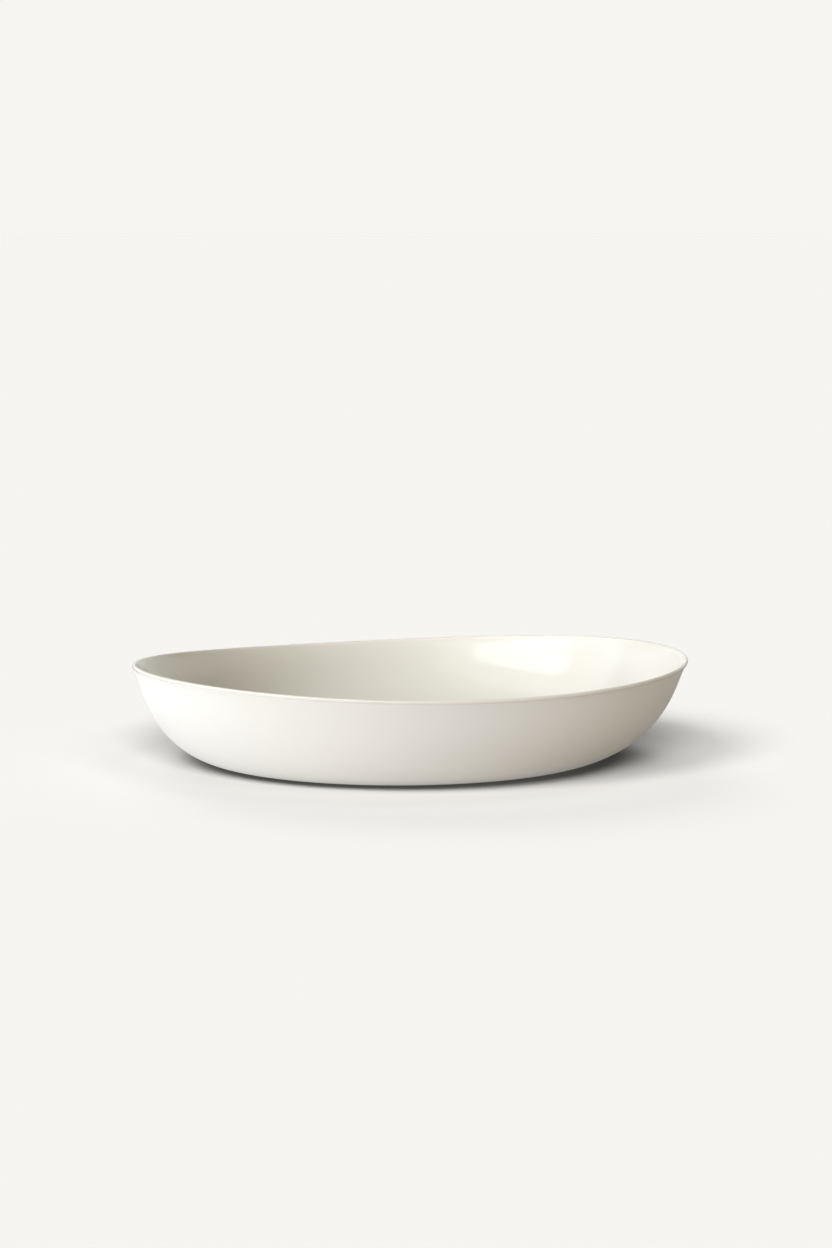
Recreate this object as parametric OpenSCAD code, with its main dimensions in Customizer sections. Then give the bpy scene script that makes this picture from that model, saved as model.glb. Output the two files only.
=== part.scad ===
// Shallow porcelain serving bowl: a slip-cast shell with a hand-shaped, gently waving lip, matte
// biscuit outside, glazed inside and over the lip, standing on a low ring foot luted under it.
//
// Origin: on the table, under the middle of the round lip. +Z is up. Every size is in millimetres.
// The wall is drawn by its middle line. Its outside and inside lie half the wall's thickness to
// either side of that line, and the glaze lies on the inside.

/* [Lip] */
// Outside radius of the glazed lip
lip_radius = 160; // [150:1:180]
// Average height of the lip above the table
lip_height = 55.8; // [50:0.1:70]
// How much higher the lip stands towards +X than on average
lip_tilt_x = 2; // [-3:0.1:3]
// How much higher the lip stands towards +Y than on average
lip_tilt_y = -2; // [-3:0.1:3]
// Wave that lifts the lip at both ends of X and drops it at both ends of Y
lip_wave_axes = 2.4; // [-3:0.1:3]
// Wave that lifts the lip on one diagonal and drops it on the other
lip_wave_diagonals = 2.1; // [-3:0.1:3]
// Small wave with three crests round the lip
lip_ripple = -0.2; // [-1:0.1:1]

/* [Wall] */
// Thickness of the porcelain at the lip, under its glaze
lip_thickness = 1.8; // [1.6:0.1:2.6]
// Thickness of the porcelain in the floor, which thins evenly up the wall to the lip
floor_thickness = 3.4; // [3:0.1:4]
// Rise of the floor's middle, which keeps it off the table after firing
floor_crown = 0.6; // [0:0.1:1]
// Reach of the first stretch beyond the heel, which lies flat, as a share of the wall's reach
heel_ease = 0.15; // [0.1:0.01:0.2]
// Reach of the second flat stretch, as a share of the wall's reach
heel_reach = 0.25; // [0.2:0.01:0.35]
// How far out the belly is pulled, as a share of the wall's reach
belly_reach = 0.9; // [0.8:0.01:0.95]
// Height at which the belly is pulled out, as a share of the wall's rise
belly_rise = 0.18; // [0.15:0.01:0.3]
// How far out the neck lies, as a share of the wall's reach; the lip flares out beyond it
neck_reach = 0.87; // [0.8:0.01:0.9]
// Height of the neck, as a share of the wall's rise
neck_rise = 0.78; // [0.7:0.01:0.85]

/* [Foot] */
// Outside radius of the foot ring
foot_radius = 98; // [90:1:105]
// Width of the foot ring
foot_width = 5; // [4:0.5:8]
// How far the level heel of the body reaches beyond the foot ring, where the wall begins
heel_shelf = 3; // [2:0.5:4]
// Height by which the foot ring lifts the body off the table
foot_lift = 1.2; // [1:0.1:3]
// Place of the foot ring's centre along X, seen from the middle of the lip
foot_x = -8; // [-10:0.5:10]
// Place of the foot ring's centre along Y, seen from the middle of the lip
foot_y = 0; // [-10:0.5:10]
// Chamfer on both edges of the foot ring's resting face
foot_chamfer = 0.4; // [0.2:0.1:0.5]
// Depth of the groove that seats the foot ring in the body
groove_depth = 0.8; // [0.5:0.1:1]
// Thickness of the slip joint between the foot ring and the groove
slip_thickness = 0.3; // [0.2:0.1:0.4]
// Leg of the small fillet of slip squeezed out on both sides of the foot ring
slip_fillet = 0.5; // [0.4:0.1:0.6]

/* [Glaze] */
// Thickness of the glaze
glaze_thickness = 0.25; // [0.2:0.05:0.4]
// How far the glaze runs down the outside of the wall below the rounded lip
glaze_overlap = 0.6; // [0.4:0.1:2]
// How far the inside glaze stays below the rounded lip, where the lip's own bead of glaze begins
glaze_join = 1.5; // [1:0.5:4]

/* [Smoothness] */
// Flat facets round the bowl
sides = 72; // [48:4:80]
// Bands up the wall
wall_bands = 16; // [10:1:18]
// Bands round the rounded lip
lip_bands = 6; // [4:1:8]
// Bands from the middle of the floor to the heel
floor_bands = 3; // [2:1:4]

/* [Hidden] */

biscuit = [0.93, 0.92, 0.88];
glazed = [0.95, 0.94, 0.89];
slip_white = [0.90, 0.88, 0.83];

lip_bead = lip_thickness + 2 * glaze_thickness;
lip_line_radius = lip_radius - lip_bead / 2;
heel_radius = foot_radius + heel_shelf;
heel_height = foot_lift + floor_thickness / 2;
foot_centre = [foot_x, foot_y];
foot_inner_radius = foot_radius - foot_width;
groove_outer_radius = foot_radius + slip_thickness;
groove_inner_radius = foot_inner_radius - slip_thickness;
groove_top = foot_lift + groove_depth;
ring_top = groove_top - slip_thickness;
// A facet's middle lies this share of the radius from the centre
facet_share = cos(180 / sides);

// The wall's middle line from heel to lip, as shares of its reach and its rise
wall_line = [
    [0, 0],
    [heel_ease, 0],
    [heel_reach, 0],
    [belly_reach, belly_rise],
    [neck_reach, neck_rise],
    [1, 1]
];
wall_line_steps = [for (i = [1:len(wall_line) - 1]) wall_line[i] - wall_line[i - 1]];

// ---- curves ----

function bezier(points, t) =
    len(points) == 1
    ? points[0]
    : bezier([for (i = [1:len(points) - 1]) points[i - 1] * (1 - t) + points[i] * t], t);

// Height of the glazed lip's crest above the table, towards angle a
function crest_height(a) =
    lip_height
    + lip_tilt_x * cos(a)
    + lip_tilt_y * sin(a)
    + lip_wave_axes * cos(2 * a)
    + lip_wave_diagonals * sin(2 * a)
    + lip_ripple * cos(3 * a);

// Reach and rise of the wall's middle line from heel to lip, towards angle a
function wall_reach(a) = lip_line_radius - heel_radius - foot_centre * [cos(a), sin(a)];
function wall_rise(a) = crest_height(a) - lip_bead / 2 - heel_height;

// Direction of the middle line in the upright section towards a, as [outward, upward], with its length
function wall_slope(a, t) =
    let (step = (len(wall_line) - 1) * bezier(wall_line_steps, t))
    [step.x * wall_reach(a), step.y * wall_rise(a)];

function wall_tangent(a, t) = wall_slope(a, t) / norm(wall_slope(a, t));

// The same direction turned to point out of the bowl
function wall_normal(a, t) = [wall_tangent(a, t).y, -wall_tangent(a, t).x];

// A point of the wall at share t from heel to lip, shift away from the middle line in its upright
// section: shift is [outward, upward]
function wall_point(a, t, shift) =
    let (share = bezier(wall_line, t))
    let (radius = heel_radius + share.x * (lip_line_radius - heel_radius) + shift.x)
    let (height = heel_height + share.y * wall_rise(a) + shift.y)
    [
        foot_x * (1 - share.x) + radius * cos(a),
        foot_y * (1 - share.x) + radius * sin(a),
        height
    ];

// A point of the outside (side = 1) or the inside (side = -1), extra millimetres off the porcelain
function skin_point(a, t, side, extra = 0) =
    let (half = (floor_thickness + (lip_thickness - floor_thickness) * t) / 2)
    wall_point(a, t, side * (half + extra) * wall_normal(a, t));

// A point on the rounded lip, turn degrees from its outside over its crest, reach from its centre
function lip_point(a, turn, reach) =
    wall_point(a, 1, reach * (cos(turn) * wall_normal(a, 1) + sin(turn) * wall_tangent(a, 1)));

// The share at which the wall is drop millimetres short of the rounded lip
function below_lip(a, drop) = 1 - drop / norm(wall_slope(a, 1));

// Crown of the floor at radius from its centre
function crown(radius) = floor_crown * pow(1 - pow(min(1, radius / groove_inner_radius), 2), 2);

// ---- rings of points round the bowl ----

angles = [for (i = [0:sides - 1]) 360 * i / sides];

function skin_ring(t, side, extra = 0) = [for (a = angles) skin_point(a, t, side, extra)];

function skin_ring_below_lip(drop, side, extra = 0) =
    [for (a = angles) skin_point(a, below_lip(a, drop), side, extra)];

function lip_ring(turn, reach) = [for (a = angles) lip_point(a, turn, reach)];

// A level ring about the foot's centre
function floor_ring(radius, height) =
    [for (a = angles) [foot_x + radius * cos(a), foot_y + radius * sin(a), height]];

function crowned_ring(radius, height) = floor_ring(radius, height + crown(radius));

// Rings up the wall, from heel to just under the glazed lip
function wall_rings(side, extra = 0) =
    [for (i = [0:wall_bands - 1]) skin_ring(i / wall_bands, side, extra)];

// Rings over the rounded lip, from its outside to its inside
function lip_rings(reach) = [for (i = [0:lip_bands]) lip_ring(180 * i / lip_bands, reach)];

// Rings of the floor's top from the middle out to the heel, lift millimetres above the porcelain
function floor_rings(lift = 0) = [
    for (i = [1:floor_bands])
        crowned_ring(heel_radius * i / (floor_bands + 1), foot_lift + floor_thickness + lift)
];

// Rings of the underside from the middle out to the groove
underside_rings = [
    for (i = [1:floor_bands]) crowned_ring(groove_inner_radius * i / floor_bands, foot_lift)
];

groove_rings = [
    floor_ring(groove_inner_radius, groove_top),
    floor_ring(groove_outer_radius, groove_top),
    floor_ring(groove_outer_radius, foot_lift)
];

// ---- solids from rings ----

function reversed(list) = [for (i = [len(list) - 1:-1:0]) list[i]];

// Two facets for each step round the bowl, between ring number i and ring number j
function band_faces(i, j) = [
    for (k = [0:sides - 1])
        let (n = (k + 1) % sides)
        each [
            [i * sides + k, j * sides + n, i * sides + n],
            [i * sides + k, j * sides + k, j * sides + n]
        ]
];

// Facets between the point centre and ring number ring
function fan_faces(centre, ring) =
    [for (k = [0:sides - 1]) [centre, ring * sides + k, ring * sides + (k + 1) % sides]];

// A closed solid whose skin runs from one point on the axis over the rings to another such point
module solid_between_poles(first_pole, rings, last_pole) {
    count = len(rings);
    first = count * sides;
    polyhedron(
        points = [for (ring = rings) each ring, first_pole, last_pole],
        faces = [
            each fan_faces(first, 0),
            for (i = [0:count - 2]) each band_faces(i, i + 1),
            for (face = fan_faces(first + 1, count - 1)) reversed(face)
        ],
        convexity = 6
    );
}

// A closed ring-shaped solid whose skin runs over the rings and back to the first
module solid_round_loop(rings) {
    count = len(rings);
    polyhedron(
        points = [for (ring = rings) each ring],
        faces = [for (i = [0:count - 1]) each band_faces(i, (i + 1) % count)],
        convexity = 6
    );
}

function pole(height) = [foot_x, foot_y, height + floor_crown];

// ---- parts ----

// The fired porcelain shell, with the groove for its foot in the underside
module bowl_body() {
    color(biscuit)
        solid_between_poles(
            pole(foot_lift),
            [
                each underside_rings,
                each groove_rings,
                each wall_rings(1),
                skin_ring_below_lip(glaze_overlap, 1),
                each lip_rings(lip_thickness / 2),
                skin_ring_below_lip(glaze_join, -1),
                each reversed(wall_rings(-1)),
                each reversed(floor_rings())
            ],
            pole(foot_lift + floor_thickness)
        );
}

// The low ring that the bowl stands on, with its top seated in the groove
module foot_ring() {
    color(biscuit)
        translate([foot_x, foot_y, 0])
            rotate_extrude($fn = 180)
                polygon([
                    [foot_inner_radius + foot_chamfer, 0],
                    [foot_radius - foot_chamfer, 0],
                    [foot_radius, foot_chamfer],
                    [foot_radius, ring_top],
                    [foot_inner_radius, ring_top],
                    [foot_inner_radius, foot_chamfer]
                ]);
}

// The fired slip that bonds the foot ring into its groove, with a fillet on either side
module foot_luting() {
    color(slip_white)
        translate([foot_x, foot_y, 0])
            rotate_extrude($fn = 180)
                polygon([
                    [groove_inner_radius, groove_top],
                    [groove_inner_radius, foot_lift],
                    [foot_inner_radius - slip_fillet, foot_lift],
                    [foot_inner_radius, foot_lift - slip_fillet],
                    [foot_inner_radius, ring_top],
                    [foot_radius, ring_top],
                    [foot_radius, foot_lift - slip_fillet],
                    [foot_radius + slip_fillet, foot_lift],
                    [groove_outer_radius * facet_share, foot_lift],
                    [groove_outer_radius * facet_share, groove_top]
                ]);
}

// The clear glaze over the whole inside, up to the bead on the lip
module interior_glaze() {
    color(glazed)
        solid_between_poles(
            pole(foot_lift + floor_thickness),
            [
                each floor_rings(),
                each wall_rings(-1),
                skin_ring_below_lip(glaze_join, -1),
                skin_ring_below_lip(glaze_join, -1, glaze_thickness),
                each reversed(wall_rings(-1, glaze_thickness)),
                each reversed(floor_rings(glaze_thickness))
            ],
            pole(foot_lift + floor_thickness + glaze_thickness)
        );
}

// The bead of glaze that rolls over the lip and ends in a thin edge on the matte outside
module lip_glaze() {
    color(glazed)
        solid_round_loop([
            skin_ring_below_lip(glaze_overlap, 1),
            skin_ring_below_lip(glaze_overlap / 2, 1, glaze_thickness),
            each lip_rings(lip_bead / 2),
            skin_ring_below_lip(glaze_join, -1, glaze_thickness),
            skin_ring_below_lip(glaze_join, -1),
            each reversed(lip_rings(lip_thickness / 2))
        ]);
}

bowl_body();
foot_ring();
foot_luting();
interior_glaze();
lip_glaze();
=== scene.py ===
"""A shallow porcelain serving bowl on a pale studio floor.

Each CAD node is replaced by a smooth, finer piece of the same form. Everything is in metres, in the
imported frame: the table is z = 0, and the origin lies under the middle of the round lip.
"""

import math

import bmesh
import bpy
import numpy as np
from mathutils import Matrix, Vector


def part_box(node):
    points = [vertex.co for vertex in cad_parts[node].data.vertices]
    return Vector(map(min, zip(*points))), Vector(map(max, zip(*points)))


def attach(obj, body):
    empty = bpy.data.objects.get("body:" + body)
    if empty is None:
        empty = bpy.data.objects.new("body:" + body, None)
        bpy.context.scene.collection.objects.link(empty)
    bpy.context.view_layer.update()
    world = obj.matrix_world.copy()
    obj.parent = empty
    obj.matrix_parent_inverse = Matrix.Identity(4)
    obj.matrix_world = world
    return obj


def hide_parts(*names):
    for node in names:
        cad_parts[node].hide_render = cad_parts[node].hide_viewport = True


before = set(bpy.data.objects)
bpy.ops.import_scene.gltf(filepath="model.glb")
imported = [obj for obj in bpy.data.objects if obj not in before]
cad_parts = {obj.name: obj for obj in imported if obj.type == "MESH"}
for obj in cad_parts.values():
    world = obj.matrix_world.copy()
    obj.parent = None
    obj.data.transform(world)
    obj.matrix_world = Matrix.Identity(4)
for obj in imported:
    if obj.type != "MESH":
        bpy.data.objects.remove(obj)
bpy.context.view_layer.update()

MM = 0.001

# ---- sizes that the frame gives ----

foot_low, foot_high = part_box("foot_ring")
slip_low, slip_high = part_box("foot_luting")
lip_low, lip_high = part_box("lip_glaze")
FOOT_X = (foot_low.x + foot_high.x) / 2
FOOT_Y = (foot_low.y + foot_high.y) / 2
FOOT_RADIUS = (foot_high.x - foot_low.x) / 2
RING_TOP = foot_high.z
SLIP_FILLET = (slip_high.x - slip_low.x) / 2 - FOOT_RADIUS
GROOVE_TOP = slip_high.z
SLIP_THICKNESS = GROOVE_TOP - RING_TOP
LIP_RADIUS = (lip_high.x - lip_low.x) / 2
FOOT_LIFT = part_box("bowl_body")[0].z
FLOOR_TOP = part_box("interior_glaze")[0].z

# ---- the other sizes of the form ----

LIP_HEIGHT = 55.8 * MM
LIP_TILT_X = 2.0 * MM
LIP_TILT_Y = -2.0 * MM
LIP_WAVE_AXES = 2.4 * MM
LIP_WAVE_DIAGONALS = 2.1 * MM
LIP_RIPPLE = -0.2 * MM
LIP_THICKNESS = 1.8 * MM
GLAZE_THICKNESS = 0.25 * MM
GLAZE_OVERLAP = 0.6 * MM
GLAZE_JOIN = 1.5 * MM
FLOOR_CROWN = 0.6 * MM
FOOT_WIDTH = 5.0 * MM
FOOT_EDGE = 0.4 * MM
HEEL_SHELF = 3.0 * MM
# The wall's middle line from heel to lip, as shares of its reach and its rise
WALL_LINE = [(0, 0), (0.15, 0), (0.25, 0), (0.9, 0.18), (0.87, 0.78), (1, 1)]

# ---- how finely the pieces are divided ----

SIDES = 288
WALL_BANDS = 56
LIP_BANDS = 14
FLOOR_BANDS = 20
ARC_STEPS = 5

floor_thickness = FLOOR_TOP - FOOT_LIFT
lip_bead = LIP_THICKNESS + 2 * GLAZE_THICKNESS
lip_line_radius = LIP_RADIUS - lip_bead / 2
heel_radius = FOOT_RADIUS + HEEL_SHELF
heel_height = FOOT_LIFT + floor_thickness / 2
foot_inner_radius = FOOT_RADIUS - FOOT_WIDTH
groove_outer_radius = FOOT_RADIUS + SLIP_THICKNESS
groove_inner_radius = foot_inner_radius - SLIP_THICKNESS

# ---- curves, worked out for all directions round the bowl at once ----

angles = np.arange(SIDES) * 2 * math.pi / SIDES
outward = np.stack([np.cos(angles), np.sin(angles)], axis=1)
crest_height = (
    LIP_HEIGHT
    + LIP_TILT_X * np.cos(angles)
    + LIP_TILT_Y * np.sin(angles)
    + LIP_WAVE_AXES * np.cos(2 * angles)
    + LIP_WAVE_DIAGONALS * np.sin(2 * angles)
    + LIP_RIPPLE * np.cos(3 * angles)
)
wall_reach = lip_line_radius - heel_radius - outward @ np.array([FOOT_X, FOOT_Y])
wall_rise = crest_height - lip_bead / 2 - heel_height
wall_size = np.stack([wall_reach, wall_rise], axis=1)


def bezier(points, t):
    """Point at share t (a column, one row for each direction) of the curve that the points steer."""
    points = [np.array(point) * np.ones_like(t) for point in points]
    while len(points) > 1:
        points = [a * (1 - t) + b * t for a, b in zip(points, points[1:])]
    return points[0]


def share_column(t):
    return np.ones((SIDES, 1)) * np.reshape(t, (-1, 1))


def wall_slope(t):
    steps = [np.subtract(b, a) for a, b in zip(WALL_LINE, WALL_LINE[1:])]
    return len(steps) * bezier(steps, t) * wall_size


def wall_tangent(t):
    slope = wall_slope(t)
    return slope / np.linalg.norm(slope, axis=1, keepdims=True)


def wall_normal(t):
    """Direction out of the bowl across the wall, as [outward, upward]."""
    tangent = wall_tangent(t)
    return np.stack([tangent[:, 1], -tangent[:, 0]], axis=1)


def wall_ring(t, shift):
    """Ring at share t of the wall, moved by shift [outward, upward] from its middle line."""
    share = bezier(WALL_LINE, t)
    radius = heel_radius + share[:, 0] * (lip_line_radius - heel_radius) + shift[:, 0]
    height = heel_height + share[:, 1] * wall_rise + shift[:, 1]
    centre = np.array([FOOT_X, FOOT_Y]) * (1 - share[:, :1])
    return np.column_stack([centre + radius[:, None] * outward, height])


def skin_ring(t, side, extra=0.0):
    """Ring on the outside (side 1) or the inside (side -1) of the wall, extra off the porcelain."""
    t = share_column(t)
    half = (floor_thickness + (LIP_THICKNESS - floor_thickness) * t) / 2
    return wall_ring(t, side * (half + extra) * wall_normal(t))


def below_lip(drop):
    """Share of the wall that is drop short of the rounded lip, in each direction."""
    return 1 - drop / np.linalg.norm(wall_slope(share_column(1.0)), axis=1)


def lip_rings(reach):
    """Rings over the rounded lip, from its outside over its crest to its inside."""
    top = share_column(1.0)
    turns = [math.pi * i / LIP_BANDS for i in range(LIP_BANDS + 1)]
    return [
        wall_ring(top, reach * (math.cos(turn) * wall_normal(top) + math.sin(turn) * wall_tangent(top)))
        for turn in turns
    ]


def wall_rings(side, extra=0.0):
    """Rings up the wall, from the heel to just under the glazed lip."""
    last = 1 - 1 / WALL_BANDS
    return [skin_ring(last * i / WALL_BANDS, side, extra) for i in range(WALL_BANDS + 1)]


def level_ring(radius, height):
    return np.column_stack([np.array([FOOT_X, FOOT_Y]) + radius * outward, np.full(SIDES, height)])


def crown(radius):
    return FLOOR_CROWN * (1 - min(1.0, radius / groove_inner_radius) ** 2) ** 2


def crowned_rings(last_radius, height):
    """Rings of a crowned level from near the middle out to short of last_radius."""
    radii = [last_radius * i / FLOOR_BANDS for i in range(1, FLOOR_BANDS)]
    return [level_ring(radius, height + crown(radius)) for radius in radii]


def arc(centre, radius, start, end):
    """Points [radius, height] of a quarter round about centre, from start to end degrees."""
    turns = [math.radians(start + (end - start) * i / ARC_STEPS) for i in range(ARC_STEPS + 1)]
    return [(centre[0] + radius * math.cos(a), centre[1] + radius * math.sin(a)) for a in turns]


# ---- meshes from rings ----


def piece_from_rings(name, rings, poles=None, sharp_angle=40):
    """A closed piece whose skin runs over the rings: between two poles on the axis, or round a loop."""
    mesh_data = bmesh.new()
    loops = [[mesh_data.verts.new(point) for point in ring] for ring in rings]
    pairs = list(zip(loops, loops[1:]))
    if poles is None:
        pairs.append((loops[-1], loops[0]))
    for low, high in pairs:
        for k in range(SIDES):
            n = (k + 1) % SIDES
            mesh_data.faces.new([low[k], low[n], high[n], high[k]])
    if poles is not None:
        for pole, loop in zip(poles, (loops[0], loops[-1])):
            middle = mesh_data.verts.new(pole)
            for k in range(SIDES):
                mesh_data.faces.new([middle, loop[k], loop[(k + 1) % SIDES]])
    bmesh.ops.recalc_face_normals(mesh_data, faces=mesh_data.faces)
    mesh = bpy.data.meshes.new(name)
    mesh_data.to_mesh(mesh)
    mesh_data.free()
    mesh.polygons.foreach_set("use_smooth", [True] * len(mesh.polygons))
    mesh.set_sharp_from_angle(angle=math.radians(sharp_angle))
    piece = bpy.data.objects.new(name, mesh)
    bpy.context.scene.collection.objects.link(piece)
    return piece


def pole(height):
    return (FOOT_X, FOOT_Y, height + FLOOR_CROWN)


def porcelain_shell():
    groove = [
        level_ring(groove_inner_radius, FOOT_LIFT),
        level_ring(groove_inner_radius, GROOVE_TOP),
        level_ring(groove_outer_radius, GROOVE_TOP),
        level_ring(groove_outer_radius, FOOT_LIFT),
    ]
    rings = [
        *crowned_rings(groove_inner_radius, FOOT_LIFT),
        *groove,
        *wall_rings(1),
        skin_ring(below_lip(GLAZE_OVERLAP), 1),
        *lip_rings(LIP_THICKNESS / 2),
        skin_ring(below_lip(GLAZE_JOIN), -1),
        *reversed(wall_rings(-1)),
        *reversed(crowned_rings(heel_radius, FLOOR_TOP)),
    ]
    return piece_from_rings("porcelain_shell", rings, (pole(FOOT_LIFT), pole(FLOOR_TOP)))


def inside_glaze():
    top = FLOOR_TOP + GLAZE_THICKNESS
    rings = [
        *crowned_rings(heel_radius, FLOOR_TOP),
        *wall_rings(-1),
        skin_ring(below_lip(GLAZE_JOIN), -1),
        skin_ring(below_lip(GLAZE_JOIN), -1, GLAZE_THICKNESS),
        *reversed(wall_rings(-1, GLAZE_THICKNESS)),
        *reversed(crowned_rings(heel_radius, top)),
    ]
    return piece_from_rings("inside_glaze", rings, (pole(FLOOR_TOP), pole(top)))


def lip_glaze_bead():
    rings = [
        skin_ring(below_lip(GLAZE_OVERLAP), 1),
        skin_ring(below_lip(GLAZE_OVERLAP / 2), 1, GLAZE_THICKNESS),
        *lip_rings(lip_bead / 2),
        skin_ring(below_lip(GLAZE_JOIN), -1, GLAZE_THICKNESS),
        skin_ring(below_lip(GLAZE_JOIN), -1),
        *reversed(lip_rings(LIP_THICKNESS / 2)),
    ]
    return piece_from_rings("lip_glaze_bead", rings)


def ground_foot():
    outline = [
        *arc((foot_inner_radius + FOOT_EDGE, FOOT_EDGE), FOOT_EDGE, 180, 270),
        *arc((FOOT_RADIUS - FOOT_EDGE, FOOT_EDGE), FOOT_EDGE, 270, 360),
        (FOOT_RADIUS, RING_TOP),
        (foot_inner_radius, RING_TOP),
    ]
    return piece_from_rings("ground_foot", [level_ring(r, z) for r, z in outline])


def slip_joint():
    fillet_height = FOOT_LIFT - SLIP_FILLET
    outline = [
        (groove_inner_radius, GROOVE_TOP),
        (groove_inner_radius, FOOT_LIFT),
        *arc((foot_inner_radius - SLIP_FILLET, fillet_height), SLIP_FILLET, 90, 0),
        (foot_inner_radius, RING_TOP),
        (FOOT_RADIUS, RING_TOP),
        *arc((FOOT_RADIUS + SLIP_FILLET, fillet_height), SLIP_FILLET, 180, 90),
        (groove_outer_radius, FOOT_LIFT),
        (groove_outer_radius, GROOVE_TOP),
    ]
    return piece_from_rings("slip_joint", [level_ring(r, z) for r, z in outline])


# ---- materials ----

# Scales of the noise patterns, in cells per metre
BISCUIT_CLOUDS = 16.0
GLAZE_CLOUDS = 22.0
GLAZE_WAVES = 28.0
GLAZE_PEEL = 240.0
GLAZE_SHEEN = 60.0


class Nodes:
    """A small helper that adds nodes to one node tree and links them."""

    def __init__(self, tree):
        self.tree = tree
        tree.nodes.clear()

    def add(self, kind, inputs=(), **settings):
        node = self.tree.nodes.new(kind)
        for name, value in settings.items():
            setattr(node, name, value)
        for key, value in dict(inputs).items():
            if isinstance(value, bpy.types.NodeSocket):
                self.tree.links.new(value, node.inputs[key])
            else:
                node.inputs[key].default_value = value
        return node

    def math(self, operation, *values):
        node = self.add("ShaderNodeMath", dict(enumerate(values)), operation=operation)
        return node.outputs[0]

    def noise(self, place, scale, detail=2.0, roughness=0.5):
        inputs = {"Vector": place, "Scale": scale, "Detail": detail, "Roughness": roughness}
        return self.add("ShaderNodeTexNoise", inputs).outputs["Fac"]

    def mix(self, share, first, second):
        node = self.add("ShaderNodeMix", data_type="RGBA")
        for key, value in ((0, share), (6, first), (7, second)):
            if isinstance(value, bpy.types.NodeSocket):
                self.tree.links.new(value, node.inputs[key])
            else:
                node.inputs[key].default_value = value
        return node.outputs[2]

    def fit_range(self, value, low, high, to_low, to_high):
        inputs = {"Value": value, 1: low, 2: high, 3: to_low, 4: to_high}
        return self.add("ShaderNodeMapRange", inputs, interpolation_type="SMOOTHSTEP").outputs[0]


def colour(red, green, blue):
    return (red, green, blue, 1.0)


def material_nodes(name):
    material = bpy.data.materials.new(name)
    material.use_nodes = True
    return material, Nodes(material.node_tree)


def finish_material(nodes, base, roughness, bump_height, bump_strength, bump_distance, specular=0.5):
    bump_inputs = {"Strength": bump_strength, "Distance": bump_distance, "Height": bump_height}
    bump = nodes.add("ShaderNodeBump", bump_inputs)
    shader = nodes.add(
        "ShaderNodeBsdfPrincipled",
        {
            "Base Color": base,
            "Roughness": roughness,
            "Specular IOR Level": specular,
            "Normal": bump.outputs["Normal"],
        },
    )
    nodes.add("ShaderNodeOutputMaterial", {"Surface": shader.outputs[0]})


def biscuit_material(name, light, dark, grain_scale, grain_strength):
    """Fired, unglazed porcelain: matte, with a fine sandy grain and faint clouds in its whiteness."""
    material, nodes = material_nodes(name)
    place = nodes.add("ShaderNodeTexCoord").outputs["Object"]
    clouds = nodes.noise(place, BISCUIT_CLOUDS, 3.0)
    grain = nodes.noise(place, grain_scale, 3.0, 0.6)
    specks = nodes.noise(place, grain_scale * 0.35, 1.0)
    tone = nodes.fit_range(clouds, 0.3, 0.7, 0.0, 0.6)
    tone = nodes.math("ADD", tone, nodes.fit_range(specks, 0.62, 0.78, 0.0, 0.4))
    base = nodes.mix(tone, light, dark)
    roughness = nodes.fit_range(grain, 0.3, 0.7, 0.62, 0.78)
    finish_material(nodes, base, roughness, grain, grain_strength, 0.05 * MM, 0.35)
    return material


def glaze_material(name, thin, pooled, pooled_below, clear_above):
    """Clear gloss glaze on white porcelain: ivory, a little deeper in tone where it pooled."""
    material, nodes = material_nodes(name)
    place = nodes.add("ShaderNodeTexCoord").outputs["Object"]
    height = nodes.add("ShaderNodeSeparateXYZ", {0: place}).outputs["Z"]
    pool = nodes.fit_range(height, pooled_below, clear_above, 1.0, 0.0)
    clouds = nodes.fit_range(nodes.noise(place, GLAZE_CLOUDS, 3.0), 0.3, 0.7, -0.12, 0.12)
    base = nodes.mix(nodes.math("ADD", pool, clouds), thin, pooled)
    waves = nodes.noise(place, GLAZE_WAVES, 1.5)
    peel = nodes.noise(place, GLAZE_PEEL, 2.0)
    surface = nodes.math("ADD", waves, nodes.math("MULTIPLY", peel, 0.04))
    roughness = nodes.fit_range(nodes.noise(place, GLAZE_SHEEN, 2.0), 0.3, 0.7, 0.09, 0.12)
    finish_material(nodes, base, roughness, surface, 0.5, 0.1 * MM)
    return material


WARM_WHITE = colour(0.86, 0.845, 0.81)
WARM_WHITE_DEEP = colour(0.845, 0.828, 0.79)
IVORY = colour(0.80, 0.785, 0.72)
IVORY_DEEP = colour(0.78, 0.76, 0.68)
LIP_IVORY = colour(0.85, 0.82, 0.76)
LIP_IVORY_DEEP = colour(0.82, 0.78, 0.70)
SLIP_WHITE = colour(0.82, 0.80, 0.75)
SLIP_WHITE_DEEP = colour(0.78, 0.755, 0.70)

bench = [
    (
        porcelain_shell(),
        "bowl_body",
        "biscuit",
        biscuit_material("fine_biscuit", WARM_WHITE, WARM_WHITE_DEEP, 1400.0, 0.25),
    ),
    (
        ground_foot(),
        "foot_ring",
        "foot_biscuit",
        biscuit_material("ground_biscuit", WARM_WHITE, SLIP_WHITE, 2200.0, 0.5),
    ),
    (
        slip_joint(),
        "foot_luting",
        "slip",
        biscuit_material("fired_slip", SLIP_WHITE, SLIP_WHITE_DEEP, 900.0, 0.5),
    ),
    (
        inside_glaze(),
        "interior_glaze",
        "glaze",
        glaze_material("ivory_glaze", IVORY, IVORY_DEEP, 5 * MM, 25 * MM),
    ),
    (
        lip_glaze_bead(),
        "lip_glaze",
        "lip_glaze",
        glaze_material("lip_glaze", LIP_IVORY, LIP_IVORY_DEEP, 40 * MM, 60 * MM),
    ),
]
for piece, node, slot, material in bench:
    piece.data.materials.append(material)
    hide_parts(node)
    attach(piece, "root")

# ---- floor, backdrop and light ----

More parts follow.
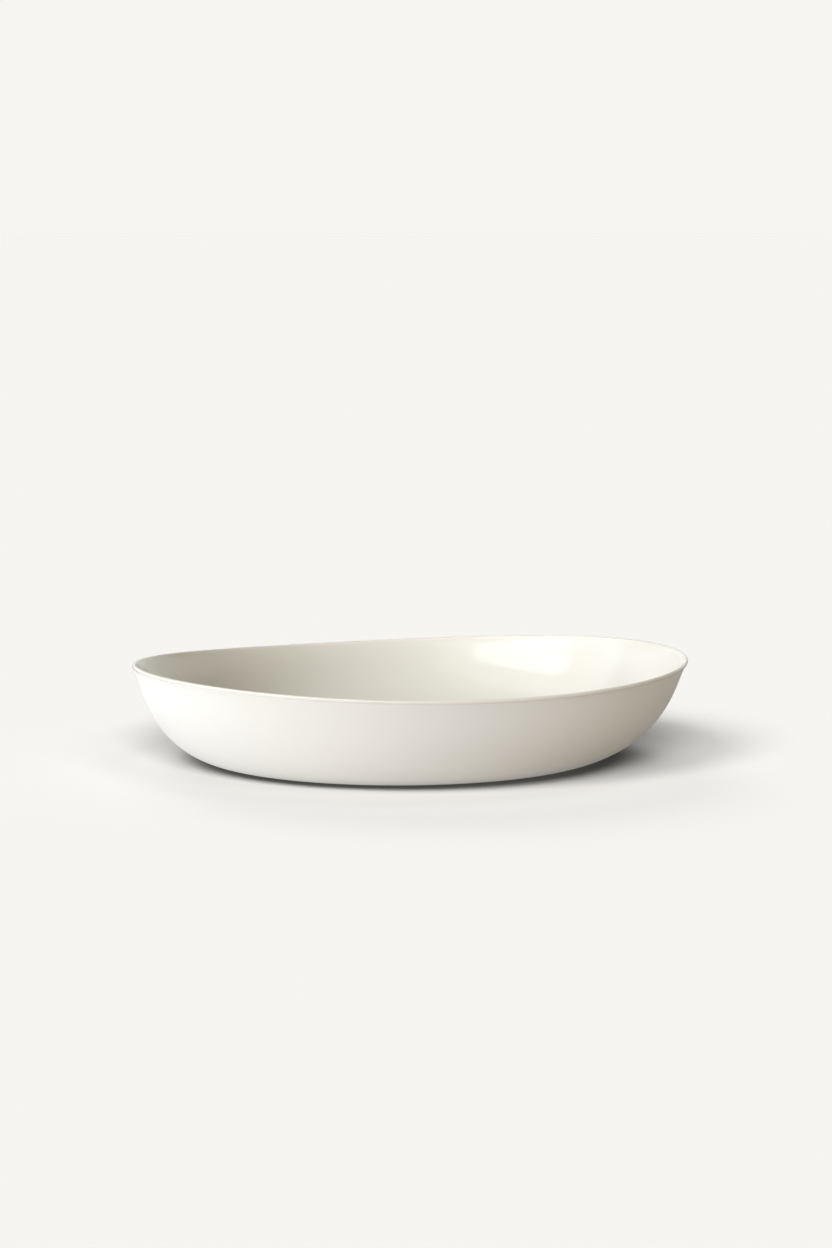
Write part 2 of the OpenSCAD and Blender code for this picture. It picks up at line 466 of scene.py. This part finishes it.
# Width of the floor in metres, its colour and the colour by which it lights the bowl
FLOOR_SIZE = 400.0
FLOOR_COLOUR = colour(0.20, 0.1963, 0.1893)
FLOOR_BOUNCE = colour(0.070, 0.065, 0.058)
# Colour of the backdrop, and the elevations in degrees between which it fades out
BACKDROP_COLOUR = (0.930, 0.913, 0.880)
BACKDROP_TOP = 12
BACKDROP_END = 26
# Distance in metres of the lights, which matters to the cards only
CARD_DISTANCE = 3.0


def studio_floor():
    """An even floor that looks pale because its own lights are strong.

    Its grey keeps the glow of the bowl's lit underside off it, and it throws less light back up at the
    bowl than it shows.
    """
    floor_mesh = bpy.data.meshes.new("studio_floor")
    half = FLOOR_SIZE / 2
    corners = [(-half, -half, 0), (half, -half, 0), (half, half, 0), (-half, half, 0)]
    floor_mesh.from_pydata(corners, [], [(0, 1, 2, 3)])
    floor = bpy.data.objects.new("studio_floor", floor_mesh)
    bpy.context.scene.collection.objects.link(floor)
    material, nodes = material_nodes("floor_paper")
    seen = nodes.add("ShaderNodeLightPath").outputs["Is Camera Ray"]
    base = nodes.mix(seen, FLOOR_BOUNCE, FLOOR_COLOUR)
    inputs = {"Base Color": base, "Roughness": 1.0, "Specular IOR Level": 0.0}
    shader = nodes.add("ShaderNodeBsdfPrincipled", inputs)
    nodes.add("ShaderNodeOutputMaterial", {"Surface": shader.outputs[0]})
    floor_mesh.materials.append(material)
    return floor


def studio_backdrop():
    """The pale backdrop all round, which meets the floor at the horizon and ends above it."""
    world = bpy.data.worlds.new("studio_backdrop")
    world.use_nodes = True
    bpy.context.scene.world = world
    nodes = Nodes(world.node_tree)
    direction = nodes.add("ShaderNodeTexCoord").outputs["Generated"]
    up = nodes.add("ShaderNodeSeparateXYZ", {0: direction}).outputs["Z"]
    elevation = nodes.math("DEGREES", nodes.math("ARCSINE", up))
    strength = nodes.fit_range(elevation, BACKDROP_TOP, BACKDROP_END, 1.0, 0.0)
    inputs = {"Color": (*BACKDROP_COLOUR, 1.0), "Strength": strength}
    background = nodes.add("ShaderNodeBackground", inputs)
    nodes.add("ShaderNodeOutputWorld", {"Surface": background.outputs[0]})


def light_group(name, members):
    group = bpy.data.collections.new(name)
    for member in members:
        group.objects.link(member)
    return group


def towards(azimuth, elevation):
    """Direction at azimuth degrees (0 towards the camera, 90 to its right) and elevation degrees."""
    across, above = math.radians(azimuth), math.radians(elevation)
    level = math.cos(above)
    return Vector((math.sin(across) * level, -math.cos(across) * level, math.sin(above)))


def place_light(name, data, azimuth, elevation, receivers, blockers=None):
    light = bpy.data.objects.new(name, data)
    bpy.context.scene.collection.objects.link(light)
    direction = towards(azimuth, elevation)
    light.location = direction * CARD_DISTANCE
    light.rotation_euler = direction.to_track_quat("Z", "Y").to_euler()
    light.light_linking.receiver_collection = receivers
    if blockers is not None:
        light.light_linking.blocker_collection = blockers
    light.visible_camera = False
    return light


def soft_light(name, azimuth, elevation, width, irradiance, tint, receivers, blockers=None):
    """A large soft light, width degrees across, that lights only its receivers."""
    data = bpy.data.lights.new(name, "SUN")
    data.angle = math.radians(width)
    data.energy = irradiance
    data.color = tint
    light = place_light(name, data, azimuth, elevation, receivers, blockers)
    light.visible_glossy = False
    return light


def reflection_card(name, azimuth, elevation, width, height, radiance, receivers):
    """A softbox seen only as its mirror image in gloss, width by height degrees."""
    data = bpy.data.lights.new(name, "AREA")
    data.shape = "RECTANGLE"
    data.size = 2 * CARD_DISTANCE * math.tan(math.radians(width / 2))
    data.size_y = 2 * CARD_DISTANCE * math.tan(math.radians(height / 2))
    data.energy = radiance * math.pi * data.size * data.size_y
    light = place_light(name, data, azimuth, elevation, receivers)
    light.visible_diffuse = False
    return light


WHITE = (1.0, 1.0, 1.0)
# name, azimuth, elevation and width in degrees, irradiance, tint
BOWL_LIGHTS = [
    ("fill_low_left", -120, -35, 30, 1.0, (0.68, 0.80, 1.0)),
    ("fill_left", -90, -35, 30, 1.15, (1.0, 0.95, 0.82)),
    ("front_left", -30, 10, 30, 1.72, (0.71, 0.81, 1.0)),
    ("front", 0, 10, 30, 0.60, (1.0, 0.75, 0.30)),
    ("top_left", -90, 60, 30, 2.17, (1.0, 0.985, 0.94)),
    ("back_fill", 150, 15, 60, 0.40, WHITE),
]
# name, azimuth, elevation and width in degrees, irradiance
FLOOR_LIGHTS = [
    ("floor_left", -30, 35, 25, 8.9),
    ("floor_front", 0, 30, 25, 11.8),
    ("floor_right", 40, 42, 20, 1.2),
    ("floor_above", 120, 70, 20, 0.9),
    ("floor_behind", -165, 30, 30, 3.2),
]
# name, azimuth, elevation, width and height in degrees, radiance
CARDS = [
    ("softbox", -64, 38, 42, 14, 3.0),
    ("softbox_halo", -74, 44, 78, 40, 1.0),
]
# Lens and sensor in mm, the point aimed at, degrees above level, distance in metres
CAMERA_LENS = 100.0
CAMERA_SENSOR = 36.0
CAMERA_AIM = Vector((3.4, 0.0, 78.5)) * MM
CAMERA_PITCH = 6.48
CAMERA_DISTANCE = 2.0


def studio_light(floor):
    pieces = light_group("bowl_lit", [piece for piece, *_ in bench])
    glazed = light_group("glaze_lit", [piece for piece, node, *_ in bench if "glaze" in node])
    ground = light_group("floor_lit", [floor])
    for settings in BOWL_LIGHTS:
        soft_light(*settings, pieces, pieces)
    for settings in FLOOR_LIGHTS:
        soft_light(*settings, WHITE, ground)
    for settings in CARDS:
        reflection_card(*settings, glazed)


def studio_camera():
    data = bpy.data.cameras.new("camera")
    data.lens = CAMERA_LENS
    data.sensor_width = CAMERA_SENSOR
    camera = bpy.data.objects.new("camera", data)
    bpy.context.scene.collection.objects.link(camera)
    pitch = math.radians(CAMERA_PITCH)
    camera.location = CAMERA_AIM + CAMERA_DISTANCE * Vector((0.0, -math.cos(pitch), math.sin(pitch)))
    camera.rotation_euler = (math.pi / 2 - pitch, 0.0, 0.0)
    bpy.context.scene.camera = camera


studio_light(studio_floor())
studio_backdrop()
studio_camera()
bpy.context.scene.view_settings.view_transform = "Standard"
